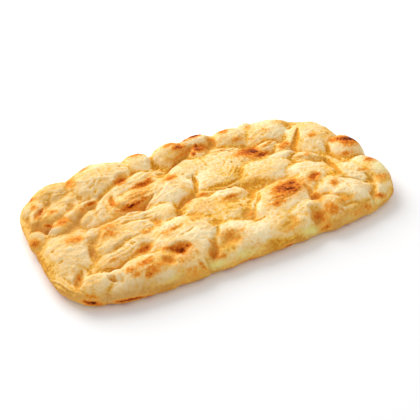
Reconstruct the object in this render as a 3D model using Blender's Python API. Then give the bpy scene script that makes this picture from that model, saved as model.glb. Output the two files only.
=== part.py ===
"""A rectangular naan bread: one flat slab of leavened dough, blistered all over its top.

The slab is a closed pillow with a rounded-rectangle outline. Its top carries blisters that press
against each other, hollows poked into them, and folds: creases and ridges that run in a bow.
Metres, +Z up, the long side along X, standing on its flat base with the origin under its middle.
"""

import math

import bmesh
import bpy
import numpy as np
from mathutils import Vector, noise

MM = 0.001

# Driving dimensions of the baked slab
LENGTH = 250 * MM
WIDTH = 134 * MM
HEIGHT = 22 * MM
CORNER_POWER = 4.6  # power of the superellipse that the outline follows
CRUMB_TOP = 13.5 * MM  # height of the dough where no blister lifts it
WAIST = 7.0 * MM  # height at which the edge is widest
EDGE_ROUND = 14.0 * MM  # how far the rounded upper edge reaches in from the outline
SIDE_SHARE = 0.42  # share of a blister that pushes the edge outwards
HEEL_ROUND = 6.0 * MM  # how far the base is drawn in under the edge
BLISTER_REACH = 15.0 * MM  # how far up and down the side a blister at the rim is felt
MEETING = 2.6 * MM  # width over which two blisters run into each other

# Resolution of the faceted solid
CELLS_LONG = 94
CELLS_WIDE = 51
BAND_START = 0.80  # share of the way from middle to rim where the rounded edge begins
HEEL_RINGS = 2

# Blisters, in millimetres and degrees: centre x, y, half length, half width, turn of the long
# axis from +X, rise above the crumb. Six broad swellings come first, and on and around them the
# blisters from the left end to the right end.
BLISTERS = [
    (-72, -22, 32, 19, 15, 3.9),
    (-94, 29, 18, 14, 30, 2.6),
    (-1, -29, 24, 17, 5, 3.6),
    (75, -24, 26, 22, 0, 4.0),
    (18, 18, 34, 26, 15, 3.4),
    (-50, 22, 27, 15, 17, 4.3),
    (-105, -15, 20, 15, 75, 4.6),
    (-103.5, -52.5, 14, 9, 10, 5.0),
    (-90.5, -52, 6, 5, 0, 5.5),
    (-74.5, -55, 20, 12, 10, 6.0),
    (-82, -35, 19, 7, 18, 4.0),
    (-78, -23, 17, 7, 18, 4.6),
    (-79, -13, 10, 9, 40, 6.0),
    (-91, -10, 10, 5, 40, 4.6),
    (-104, 7, 8, 6, 60, 5.5),
    (-119.5, 9, 9, 6, 80, 3.0),
    (-103.5, 21.5, 10, 7, 40, 5.2),
    (-112.5, 27, 9, 5, 62, 3.8),
    (-112, 38, 9, 8, 30, 3.6),
    (-96, 48.5, 15, 10, 15, 5.8),
    (-88.5, 35.5, 9, 6, 20, 3.0),
    (-85, 20.5, 14, 5, 22, 4.5),
    (-79, 8, 13, 10, 20, 2.9),
    (-85, 9.5, 8, 5, 35, 3.1),
    (-96, 15.5, 7, 5, 30, 4.0),
    (-62.5, 48, 22, 16, 22, 9.2),
    (-74.5, 12.5, 4, 12, -14, 2.9),
    (-47.5, 31, 23, 7, 17, 5.4),
    (-26.5, 11.5, 19, 15, 25, 6.4),
    (-51.5, 13, 19, 8, 14, 5.0),
    (-58, -5.5, 19, 6, -4, 4.8),
    (-42, -9.5, 14, 10, 20, 5.0),
    (-61, -15, 13, 7, -10, 4.8),
    (-47, 49, 12, 9, 15, 4.6),
    (-32, 52, 12, 10, 75, 7.8),
    (-6, 52.5, 12, 10, 15, 9.6),
    (16.5, 56.5, 14, 7, 8, 9.0),
    (12, 43, 9, 7, 40, 6.6),
    (-2, 28, 21, 12, 18, 5.0),
    (20, 26, 24, 18, 10, 4.9),
    (10, 10, 22, 15, 20, 4.9),
    (44, 21, 14, 10, -20, 5.4),
    (45.5, 2, 25, 15, 10, 5.5),
    (43, 52.5, 16, 12, 10, 7.4),
    (72.5, 48.5, 21, 14, 15, 7.0),
    (60.5, 58.5, 5, 5, 0, 7.2),
    (59, 25.5, 13, 7, 15, 5.6),
    (69.5, 18.5, 8, 6, 40, 5.8),
    (63.5, 10, 12, 5, 0, 6.2),
    (78, 0, 12, 8, -25, 6.0),
    (98.5, 25.5, 17, 20, -40, 6.6),
    (113.5, 0.5, 12, 9.5, -60, 8.8),
    (97, -31, 18, 14, -15, 5.6),
    (112, -33, 11, 17, 0, 6.2),
    (104.5, -53, 13, 11, 40, 4.8),
    (70, -12, 15, 10, -15, 5.7),
    (68, -23, 12, 10, 20, 5.9),
    (74.5, -37, 13, 9, 5, 6.4),
    (80, -48, 15, 12, 0, 6.6),
    (34, -34.5, 24, 16, 25, 7.2),
    (41, -52, 15, 8, 10, 5.4),
    (18, -53, 18, 11, 12, 4.8),
    (-2, -29, 9, 11, 10, 4.8),
    (6, -14, 14, 9, 0, 5.4),
    (-15, -17.5, 14, 12, 10, 5.2),
    (-8, -48, 19, 10, -14, 4.8),
    (-38, -39, 21, 19, 0, 8.0),
    (1, -58, 13, 11, 0, 5.4),
    (-88.5, -61.5, 12, 7, 0, 5.4),
    (-64, -62, 11, 8, 5, 5.2),
    (-45.5, -60, 14, 10, 5, 5.6),
    (-20, -62, 12, 8, 5, 4.0),
    (18.5, -61, 13, 8, 8, 4.8),
    (32, -61, 11, 8, 10, 5.2),
    (58.5, -61, 8, 8, 15, 6.0),
    (59.5, -53.5, 10, 9, 10, 6.4),
    (74, -60, 14, 8, 12, 4.8),
    (92.5, -60.5, 10, 6, 30, 4.6),
]

# Hollows, in the same terms, with a depth in place of the rise
HOLLOWS = [
    (-110, -42, 8.5, 4, 62, 3.6),
    (-65, -36, 7, 4, 20, 3.2),
    (-95.5, -26.5, 9, 3, 80, 2.4),
    (-91.5, -17, 4, 4, 0, 1.2),
    (-110, 10, 4.5, 3, 35, 2.2),
    (-117.5, 16, 7, 5, 20, 2.4),
    (-123, 0, 5, 4, 90, 2.0),
    (-51, 37, 8, 4, 35, 3.6),
    (-78.5, 20, 7, 3, 35, 2.6),
    (-90.5, 26.5, 8, 4, 50, 1.6),
    (-23, 45, 7, 5, 20, 1.8),
    (1.5, 53, 4, 3, 60, 1.6),
    (27, 51.5, 6, 3, 95, 3.4),
    (26.5, -9, 15, 6, -15, 1.2),
    (24, 5, 8, 4, 60, 0.6),
    (107, 9, 4, 3, 0, 1.8),
    (93, -58.5, 7, 3.5, 70, 4.6),
    (86, -28, 6, 4, 60, 1.4),
    (66.5, -24, 6, 4, 30, 1.4),
    (56.5, -43, 6, 4, 75, 3.2),
    (6, -37, 8, 5, 60, 1.4),
    (6, -19.5, 5, 4, -10, 1.2),
    (-26, -22.5, 6, 5, 20, 1.6),
    (-29.5, -15.5, 7, 5, 20, 1.2),
    (-19, -37, 6, 5, 0, 1.0),
    (-48.5, -50, 7.5, 4.8, -12, 5.2),
    (-59.5, -55.5, 6, 3.4, -45, 3.6),
    (-30, -60, 8.5, 3.6, 56, 4.6),
    (-19, -59, 13, 7, 40, 1.8),
    (24, -60, 10, 5, 15, 1.6),
    (46.5, -59.5, 9, 6.5, 105, 4.8),
    (-49, -16, 6, 5, 0, 1.6),
]

# Folds: start x, y, end x, y, bow to the left of the way, half width, rise (a crease is under 0)
FOLDS = [
    (-121.5, -32, -106.5, -57.5, -4, 4, 1.2),
    (-117.5, -34, -104, -51.5, -3, 2.5, -1.0),
    (-97, -45, -80.5, -45, -1, 3, -1.5),
    (-97, -50.5, -91.5, -56, 0, 1.8, -2.2),
    (-93, -32, -63.5, -25, 0.5, 2.5, -1.3),
    (-89, -17, -78, -3, -1, 2.5, -1.8),
    (-114, 22.5, -107.5, 33, 1, 1.8, -3.0),
    (-120, 20, -107, 7, 0, 3.2, -3.0),
    (-105.5, 35, -100, 45.5, 0, 3, -0.9),
    (-86, 46.5, -72, 58, 1, 3, -2.2),
    (-77.5, -0.5, -70, 23.5, 2, 2.5, 1.0),
    (-64, 23, -68, 10, 0, 2.2, -1.8),
    (-48.5, 21.5, -26.5, 26, 0, 3.5, -2.2),
    (-62.5, 19.5, -47.5, 22.5, 0, 2.5, -1.0),
    (-68, 12, -38, 10.5, -7.5, 3.5, -3.4),
    (-44, 5.5, -31, 11.5, 0, 2.5, -1.0),
    (-76, 23, -53, 36, 0, 2.5, -1.6),
    (-20, 35, 12.5, 52, -2, 2.5, -2.2),
    (-4.5, 19, -11.5, -1, 0, 3, -2.4),
    (-12, 0, -28, -10, -1, 3.5, -2.2),
    (-10.5, 2.5, 20, 0, -3, 2.5, -1.2),
    (91, 52.5, 90, 39.5, 0, 4, -2.0),
    (95, 36, 72.5, 11, 0, 3, -3.0),
    (62.5, 5, 83.5, -12, 2, 1.8, -1.2),
    (66.5, 9, 86, -2, 1, 1.8, -1.2),
    (101, 11.5, 101.5, -12, -2, 3, -1.0),
    (93, -3, 88, -27, -1, 4, -3.2),
    (57.5, -27, 56, -47, -1, 3.4, -3.2),
    (56, -46, 75, -58, 2.5, 2.2, -1.6),
    (101, -37, 91, -61, 3, 2.6, -2.4),
    (4, -46.5, 15, -45.5, -1, 2, -1.2),
    (7, -44.5, 25.5, -20.5, 0, 2.5, -1.2),
    (-17, -41, -31, -64, -2, 3, -2.0),
    (-37.5, -61, -35.5, -69, 0, 2, -1.5),
    (77, -60.5, 78.5, -68.5, 0, 2, -1.2),
    (63, -59.5, 80, -61.5, 1, 2, -1.4),
    (29.5, 32, 59, 34.5, -2, 1.5, -0.8),
    (18, 38, 41.5, 31, 1, 1.5, -0.8),
]

DOME_FALL = 4.3 * MM  # how far a blister falls from its crown to its outline
DOME_FLATNESS = 1.4  # over 1 a blister has a broad flat crown
CRUMB_SWELL = 1.0 * MM  # how unevenly the dough lies where no blister lifts it
HOLLOW_POWER = 1.4  # over 1 a hollow runs out softly
DRIFT = 2.0 * MM  # how far the outlines of the blisters wander
DRIFT_SCALE = 17 * MM  # how far apart the wanderings are
EASTWARD = Vector((7.3, 1.9, 4.2))  # where the noise for each way of wandering starts
NORTHWARD = Vector((2.8, 9.1, 6.4))


def outline_of(u, v):
    """The outline's point and outward direction for each point of the unit square's rings."""
    ring = np.maximum(abs(u), abs(v))
    middle = ring == 0  # the middle lies in no direction, so it is given one
    across = np.where(middle, 1, u) / np.where(middle, 1, ring)
    along = v / np.where(middle, 1, ring)
    shrink = (abs(across) ** CORNER_POWER + abs(along) ** CORNER_POWER) ** (-1 / CORNER_POWER)
    point = np.stack([across * shrink * LENGTH / 2, along * shrink * WIDTH / 2], 1)
    steep = CORNER_POWER - 1
    normal = np.stack(
        [
            np.sign(across) * abs(across * shrink) ** steep / LENGTH,
            np.sign(along) * abs(along * shrink) ** steep / WIDTH,
        ],
        1,
    )
    normal /= np.linalg.norm(normal, axis=1, keepdims=True)
    return point, normal, ring


def pillow_top(u, v):
    """Places and directions of the bare slab from the middle of its top out to its waist."""
    point, normal, ring = outline_of(u, v)
    inner = np.clip(ring / BAND_START, 0, 1)[:, None]
    angle = np.clip((ring - BAND_START) / (1 - BAND_START), 0, 1) * math.pi / 2
    shoulder = (point - normal * EDGE_ROUND) * inner
    plan = shoulder + normal * EDGE_ROUND * np.sin(angle)[:, None]
    height = WAIST + (CRUMB_TOP - WAIST) * np.cos(angle)
    places = np.column_stack([plan, height])
    ways = np.column_stack([normal * SIDE_SHARE * np.sin(angle)[:, None], np.cos(angle)])
    return places, ways


def drift(places):
    """The places moved about a little, so that no blister keeps an exact outline."""
    moved = places.copy()
    for index, place in enumerate(places):
        spot = Vector(place) / DRIFT_SCALE
        for axis, start in enumerate((EASTWARD, NORTHWARD)):
            broad = noise.noise(spot + start)
            close = noise.noise(spot * 2.7 + start)
            moved[index, axis] += DRIFT * (broad + 0.45 * close)
    return moved


def reach_of(places, feature):
    """How far each place is from a feature's middle, squared, with 1 on the feature's outline."""
    x, y, long, wide, turn, size = feature
    turn = math.radians(turn)
    east = places[:, 0] - x * MM
    north = places[:, 1] - y * MM
    along = (east * math.cos(turn) + north * math.sin(turn)) / (long * MM)
    across = (north * math.cos(turn) - east * math.sin(turn)) / (wide * MM)
    down = (CRUMB_TOP - places[:, 2]) / BLISTER_REACH
    return along**2 + across**2 + down**2


def dome(places, feature):
    """Height of one blister at each place; it goes on falling outside its outline."""
    return feature[5] * MM - DOME_FALL * reach_of(places, feature) ** DOME_FLATNESS


def bowl(places, feature):
    """Depth of one hollow at each place."""
    return feature[5] * MM * np.clip(1 - reach_of(places, feature), 0, None) ** HOLLOW_POWER


def fold(places, feature):
    """How strongly one bowed fold is felt at each place."""
    x0, y0, x1, y1, bow, wide, size = feature
    length = math.hypot(x1 - x0, y1 - y0)
    ahead = ((x1 - x0) / length, (y1 - y0) / length)
    east = places[:, 0] / MM - x0
    north = places[:, 1] / MM - y0
    along = (east * ahead[0] + north * ahead[1]) / length
    side = north * ahead[0] - east * ahead[1] - 4 * bow * along * (1 - along)
    fade = np.clip(4 * along * (1 - along), 0, 1)
    across = np.clip(1 - (side / (wide * fade**0.5 + 0.01)) ** 2, 0, None)
    return size * MM * across**1.5 * fade**0.5


def meet(first, second, width):
    """The larger of the two, rounded where they are nearly equal."""
    near = np.clip(width - abs(first - second), 0, None)
    return np.maximum(first, second) + near**2 / (4 * width)


def relief(places):
    """How far the baked surface stands out from the bare slab at each place."""
    places = drift(places)
    swell = np.array([CRUMB_SWELL * noise.noise(Vector(place) / DRIFT_SCALE) for place in places])
    swell -= CRUMB_SWELL
    for blister in BLISTERS:
        swell = meet(swell, dome(places, blister), MEETING)
    sunk = np.zeros(len(places))
    for hollow in HOLLOWS:
        sunk = np.maximum(sunk, bowl(places, hollow))
    folded = sum((fold(places, feature) for feature in FOLDS), np.zeros(len(places)))
    return swell - sunk + folded


def read_vertices(mesh):
    places = np.empty(len(mesh.vertices) * 3)
    mesh.vertices.foreach_get("co", places)
    return places.reshape(-1, 3)


def add_heel(bm):
    """Draws the open rim in and down to the table, and closes it with a flat base to the middle."""
    rim = [edge for edge in bm.edges if edge.is_boundary]
    for step in range(1, HEEL_RINGS + 1):
        before = math.pi / 2 * (step - 1) / HEEL_RINGS
        after = math.pi / 2 * step / HEEL_RINGS
        made = bmesh.ops.extrude_edge_only(bm, edges=rim)["geom"]
        rim = [part for part in made if isinstance(part, bmesh.types.BMEdge)]
        ring = [part for part in made if isinstance(part, bmesh.types.BMVert)]
        draw_in = HEEL_ROUND * (math.cos(before) - math.cos(after))
        for vertex in ring:
            vertex.co.x *= 1 - 2 * draw_in / LENGTH
            vertex.co.y *= 1 - 2 * draw_in / WIDTH
            vertex.co.z = WAIST * (1 - math.sin(after))
    made = bmesh.ops.extrude_edge_only(bm, edges=rim)["geom"]
    hub = [part for part in made if isinstance(part, bmesh.types.BMVert)]
    bmesh.ops.pointmerge(bm, verts=hub, merge_co=(0, 0, 0))


def put_in_order(bm):
    """Numbers the points and faces by where they are, so that every run gives the same mesh."""
    bm.verts.sort(key=lambda vertex: vertex.co.x * 1000 + vertex.co.y + vertex.co.z / 1000)
    bm.faces.sort(key=lambda face: face.calc_center_median().dot((1000, 1, 0.001)))


def fit_to_size(mesh):
    """Trims the bread's box to its stated size, with the origin under its middle."""
    places = read_vertices(mesh)
    low = places.min(0)
    high = places.max(0)
    size = np.array([LENGTH, WIDTH, HEIGHT])
    start = np.array([-LENGTH / 2, -WIDTH / 2, 0.0])
    places = start + (places - low) * size / (high - low)
    mesh.vertices.foreach_set("co", places.ravel())
    mesh.update()


def dough():
    material = bpy.data.materials.new("baked_dough")
    material.use_nodes = True
    shader = material.node_tree.nodes["Principled BSDF"]
    shader.inputs["Base Color"].default_value = (0.76, 0.52, 0.24, 1)
    shader.inputs["Roughness"].default_value = 0.6
    shader.inputs["Metallic"].default_value = 0.0
    return material


def make_naan():
    bm = bmesh.new()
    bmesh.ops.create_grid(bm, x_segments=CELLS_LONG, y_segments=CELLS_WIDE, size=1)
    square = np.array([vertex.co[:2] for vertex in bm.verts])
    places, ways = pillow_top(square[:, 0], square[:, 1])
    places += ways * relief(places)[:, None]
    for vertex, place in zip(bm.verts, places):
        vertex.co = place
    add_heel(bm)
    bmesh.ops.recalc_face_normals(bm, faces=bm.faces)
    bmesh.ops.triangulate(bm, faces=bm.faces)
    put_in_order(bm)
    mesh = bpy.data.meshes.new("naan")
    bm.to_mesh(mesh)
    bm.free()
    fit_to_size(mesh)
    mesh.shade_smooth()
    mesh.materials.append(dough())
    naan = bpy.data.objects.new("naan", mesh)
    bpy.context.scene.collection.objects.link(naan)
    return naan


def main():
    for old in list(bpy.data.objects):
        bpy.data.objects.remove(old)
    make_naan()


main()
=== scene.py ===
# %% [markdown]
# # A rectangular naan bread
#
# A naan is a flat slab of leavened dough. It goes into a very hot oven, where the gas in it lifts
# the top into blisters. The thin skin of the highest blisters scorches, the creases between them
# stay soft and turn golden, and the parts that rise last stay pale.
#
# This lesson builds one such bread in Blender: the slab, its blisters, its fine wrinkles, and a
# baked skin whose colour follows both the relief and a list of the marks that the oven left, with
# painted shade and painted highlight among them.

import math

import bmesh
import bpy
import numpy as np
from mathutils import Matrix, Vector, noise


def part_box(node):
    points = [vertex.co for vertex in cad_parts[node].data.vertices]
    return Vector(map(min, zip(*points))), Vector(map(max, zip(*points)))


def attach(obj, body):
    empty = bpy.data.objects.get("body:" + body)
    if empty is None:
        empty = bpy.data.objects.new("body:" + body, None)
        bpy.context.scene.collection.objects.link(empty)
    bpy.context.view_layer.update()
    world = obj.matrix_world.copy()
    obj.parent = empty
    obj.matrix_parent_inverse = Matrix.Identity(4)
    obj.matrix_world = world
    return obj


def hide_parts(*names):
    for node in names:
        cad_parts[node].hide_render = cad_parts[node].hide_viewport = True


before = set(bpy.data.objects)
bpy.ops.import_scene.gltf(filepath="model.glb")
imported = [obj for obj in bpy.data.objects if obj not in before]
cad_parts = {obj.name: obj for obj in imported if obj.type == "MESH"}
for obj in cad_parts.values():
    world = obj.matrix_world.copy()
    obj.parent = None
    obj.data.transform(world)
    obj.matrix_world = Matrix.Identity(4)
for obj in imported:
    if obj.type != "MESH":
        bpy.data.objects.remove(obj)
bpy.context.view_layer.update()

# %% [markdown]
# ## The camera
#
# The camera looks down at the front long side, from a little to the left. It comes first because
# the marks further down are listed as the camera sees them. Its place was found by laying the
# outline of the slab over the picture until the two agreed.

# %% Place the camera
CAMERA_TURN = math.radians(-28.8)  # how far the camera stands to the left of the front
CAMERA_RISE = math.radians(36.45)
CAMERA_DISTANCE = 0.50
CAMERA_ASIDE = 0.00112  # how far the picture's middle lies beside the bread's middle
CAMERA_ABOVE = 0.00312
PICTURE = 420  # pixels along each side
FOCUS = 727.9  # pixels
SENSOR = 36  # millimetres

backward = Vector(
    (
        math.sin(CAMERA_TURN) * math.cos(CAMERA_RISE),
        -math.cos(CAMERA_TURN) * math.cos(CAMERA_RISE),
        math.sin(CAMERA_RISE),
    )
)
rightward = Vector((math.cos(CAMERA_TURN), math.sin(CAMERA_TURN), 0))
upward = backward.cross(rightward)
camera_place = backward * CAMERA_DISTANCE - rightward * CAMERA_ASIDE - upward * CAMERA_ABOVE

camera_data = bpy.data.cameras.new("camera")
camera_data.sensor_width = SENSOR
camera_data.lens = FOCUS / PICTURE * SENSOR
camera_data.clip_start = 0.01
camera = bpy.data.objects.new("camera", camera_data)
bpy.context.scene.collection.objects.link(camera)
camera.matrix_world = Matrix.Translation(camera_place) @ Matrix(
    (rightward, upward, backward)
).transposed().to_4x4()
bpy.context.scene.camera = camera
print("camera at", tuple(round(value, 4) for value in camera_place), "lens", camera_data.lens)

# %% [markdown]
# ## The bare slab
#
# Before it is baked, the dough is a flat pillow with a rounded-rectangle outline. It could be a
# cube with rounded edges, but then the cells of the mesh would crowd at the corners. Here one flat
# grid is laid over the slab like a cloth: rings of the grid become rings of the outline, and the
# outer rings bend down over the edge in a quarter circle, as far as the widest place of the side.

# %% Sizes of the slab
MM = 0.001
lowest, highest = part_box("naan")
LENGTH = highest.x - lowest.x
WIDTH = highest.y - lowest.y
CORNER_POWER = 4.6  # power of the superellipse that the outline follows
CRUMB_TOP = 13.5 * MM  # height of the dough where no blister lifts it
WAIST = 7.0 * MM  # height at which the edge is widest
EDGE_ROUND = 14.0 * MM  # how far the rounded upper edge reaches in from the outline
SIDE_SHARE = 0.42  # share of a blister that pushes the edge outwards
BAND_START = 0.80  # share of the way from middle to rim where the rounded edge begins
print("slab", round(LENGTH / MM, 1), "by", round(WIDTH / MM, 1), "mm")


# %% The outline and the pillow
def outline_of(u, v):
    """The outline's point and outward direction for each point of the unit square's rings."""
    ring = np.maximum(abs(u), abs(v))
    middle = ring == 0  # the middle lies in no direction, so it is given one
    across = np.where(middle, 1, u) / np.where(middle, 1, ring)
    along = v / np.where(middle, 1, ring)
    shrink = (abs(across) ** CORNER_POWER + abs(along) ** CORNER_POWER) ** (-1 / CORNER_POWER)
    point = np.stack([across * shrink * LENGTH / 2, along * shrink * WIDTH / 2], 1)
    steep = CORNER_POWER - 1
    normal = np.stack(
        [
            np.sign(across) * abs(across * shrink) ** steep / LENGTH,
            np.sign(along) * abs(along * shrink) ** steep / WIDTH,
        ],
        1,
    )
    normal /= np.linalg.norm(normal, axis=1, keepdims=True)
    return point, normal, ring


def pillow_top(u, v):
    """Places and directions of the bare slab from the middle of its top out to its waist."""
    point, normal, ring = outline_of(u, v)
    inner = np.clip(ring / BAND_START, 0, 1)[:, None]
    angle = np.clip((ring - BAND_START) / (1 - BAND_START), 0, 1) * math.pi / 2
    shoulder = (point - normal * EDGE_ROUND) * inner
    plan = shoulder + normal * EDGE_ROUND * np.sin(angle)[:, None]
    height = WAIST + (CRUMB_TOP - WAIST) * np.cos(angle)
    places = np.column_stack([plan, height])
    ways = np.column_stack([normal * SIDE_SHARE * np.sin(angle)[:, None], np.cos(angle)])
    return places, ways


# %% Lay the grid over the slab
CELLS_LONG = 366
CELLS_WIDE = 196

bread_bm = bmesh.new()
bmesh.ops.create_grid(bread_bm, x_segments=CELLS_LONG, y_segments=CELLS_WIDE, size=1)
square = np.array([vertex.co[:2] for vertex in bread_bm.verts])
bare, ways = pillow_top(square[:, 0], square[:, 1])
print("grid of", len(bare), "points")

# %% [markdown]
# ## Blisters, hollows and folds
#
# On the real bread each blister is a gas bubble under a stretched skin. Blisters are broad, and
# they meet in narrow creases because each one goes on falling where the next begins. Sculpting
# would work too, but a list of named shapes can be read, moved and repeated. Each row is one
# blister, hollow or fold of the bread. Six broad swellings come first, and the rest follow from
# its left end to its right end.

# %% List the blisters
# Centre x, y, half length, half width in mm, turn of the long axis from +X in degrees, rise in mm
BLISTERS = [
    (-72, -22, 32, 19, 15, 3.9),
    (-94, 29, 18, 14, 30, 2.6),
    (-1, -29, 24, 17, 5, 3.6),
    (75, -24, 26, 22, 0, 4.0),
    (18, 18, 34, 26, 15, 3.4),
    (-50, 22, 27, 15, 17, 4.3),
    (-105, -15, 20, 15, 75, 4.6),
    (-103.5, -52.5, 14, 9, 10, 5.0),
    (-90.5, -52, 6, 5, 0, 5.5),
    (-74.5, -55, 20, 12, 10, 6.0),
    (-82, -35, 19, 7, 18, 4.0),
    (-78, -23, 17, 7, 18, 4.6),
    (-79, -13, 10, 9, 40, 6.0),
    (-91, -10, 10, 5, 40, 4.6),
    (-104, 7, 8, 6, 60, 5.5),
    (-119.5, 9, 9, 6, 80, 3.0),
    (-103.5, 21.5, 10, 7, 40, 5.2),
    (-112.5, 27, 9, 5, 62, 3.8),
    (-112, 38, 9, 8, 30, 3.6),
    (-96, 48.5, 15, 10, 15, 5.8),
    (-88.5, 35.5, 9, 6, 20, 3.0),
    (-85, 20.5, 14, 5, 22, 4.5),
    (-79, 8, 13, 10, 20, 2.9),
    (-85, 9.5, 8, 5, 35, 3.1),
    (-96, 15.5, 7, 5, 30, 4.0),
    (-62.5, 48, 22, 16, 22, 9.2),
    (-74.5, 12.5, 4, 12, -14, 2.9),
    (-47.5, 31, 23, 7, 17, 5.4),
    (-26.5, 11.5, 19, 15, 25, 6.4),
    (-51.5, 13, 19, 8, 14, 5.0),
    (-58, -5.5, 19, 6, -4, 4.8),
    (-42, -9.5, 14, 10, 20, 5.0),
    (-61, -15, 13, 7, -10, 4.8),
    (-47, 49, 12, 9, 15, 4.6),
    (-32, 52, 12, 10, 75, 7.8),
    (-6, 52.5, 12, 10, 15, 9.6),
    (16.5, 56.5, 14, 7, 8, 9.0),
    (12, 43, 9, 7, 40, 6.6),
    (-2, 28, 21, 12, 18, 5.0),
    (20, 26, 24, 18, 10, 4.9),
    (10, 10, 22, 15, 20, 4.9),
    (44, 21, 14, 10, -20, 5.4),
    (45.5, 2, 25, 15, 10, 5.5),
    (43, 52.5, 16, 12, 10, 7.4),
    (72.5, 48.5, 21, 14, 15, 7.0),
    (60.5, 58.5, 5, 5, 0, 7.2),
    (59, 25.5, 13, 7, 15, 5.6),
    (69.5, 18.5, 8, 6, 40, 5.8),
    (63.5, 10, 12, 5, 0, 6.2),
    (78, 0, 12, 8, -25, 6.0),
    (98.5, 25.5, 17, 20, -40, 6.6),
    (113.5, 0.5, 12, 9.5, -60, 8.8),
    (97, -31, 18, 14, -15, 5.6),
    (112, -33, 11, 17, 0, 6.2),
    (104.5, -53, 13, 11, 40, 4.8),
    (70, -12, 15, 10, -15, 5.7),
    (68, -23, 12, 10, 20, 5.9),
    (74.5, -37, 13, 9, 5, 6.4),
    (80, -48, 15, 12, 0, 6.6),
    (34, -34.5, 24, 16, 25, 7.2),
    (41, -52, 15, 8, 10, 5.4),
    (18, -53, 18, 11, 12, 4.8),
    (-2, -29, 9, 11, 10, 4.8),
    (6, -14, 14, 9, 0, 5.4),
    (-15, -17.5, 14, 12, 10, 5.2),
    (-8, -48, 19, 10, -14, 4.8),
    (-38, -39, 21, 19, 0, 8.0),
    (1, -58, 13, 11, 0, 5.4),
    (-88.5, -61.5, 12, 7, 0, 5.4),
    (-64, -62, 11, 8, 5, 5.2),
    (-45.5, -60, 14, 10, 5, 5.6),
    (-20, -62, 12, 8, 5, 4.0),
    (18.5, -61, 13, 8, 8, 4.8),
    (32, -61, 11, 8, 10, 5.2),
    (58.5, -61, 8, 8, 15, 6.0),
    (59.5, -53.5, 10, 9, 10, 6.4),
    (74, -60, 14, 8, 12, 4.8),
    (92.5, -60.5, 10, 6, 30, 4.6),
]
print(len(BLISTERS), "blisters")

# %% List the hollows
# The same terms, with a depth in place of the rise
HOLLOWS = [
    (-110, -42, 8.5, 4, 62, 3.6),
    (-65, -36, 7, 4, 20, 3.2),
    (-95.5, -26.5, 9, 3, 80, 2.4),
    (-91.5, -17, 4, 4, 0, 1.2),
    (-110, 10, 4.5, 3, 35, 2.2),
    (-117.5, 16, 7, 5, 20, 2.4),
    (-123, 0, 5, 4, 90, 2.0),
    (-51, 37, 8, 4, 35, 3.6),
    (-78.5, 20, 7, 3, 35, 2.6),
    (-90.5, 26.5, 8, 4, 50, 1.6),
    (-23, 45, 7, 5, 20, 1.8),
    (1.5, 53, 4, 3, 60, 1.6),
    (27, 51.5, 6, 3, 95, 3.4),
    (26.5, -9, 15, 6, -15, 1.2),
    (24, 5, 8, 4, 60, 0.6),
    (107, 9, 4, 3, 0, 1.8),
    (93, -58.5, 7, 3.5, 70, 4.6),
    (86, -28, 6, 4, 60, 1.4),
    (66.5, -24, 6, 4, 30, 1.4),
    (56.5, -43, 6, 4, 75, 3.2),
    (6, -37, 8, 5, 60, 1.4),
    (6, -19.5, 5, 4, -10, 1.2),
    (-26, -22.5, 6, 5, 20, 1.6),
    (-29.5, -15.5, 7, 5, 20, 1.2),
    (-19, -37, 6, 5, 0, 1.0),
    (-48.5, -50, 7.5, 4.8, -12, 5.2),
    (-59.5, -55.5, 6, 3.4, -45, 3.6),
    (-30, -60, 8.5, 3.6, 56, 4.6),
    (-19, -59, 13, 7, 40, 1.8),
    (24, -60, 10, 5, 15, 1.6),
    (46.5, -59.5, 9, 6.5, 105, 4.8),
    (-49, -16, 6, 5, 0, 1.6),
]
print(len(HOLLOWS), "hollows")

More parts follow.
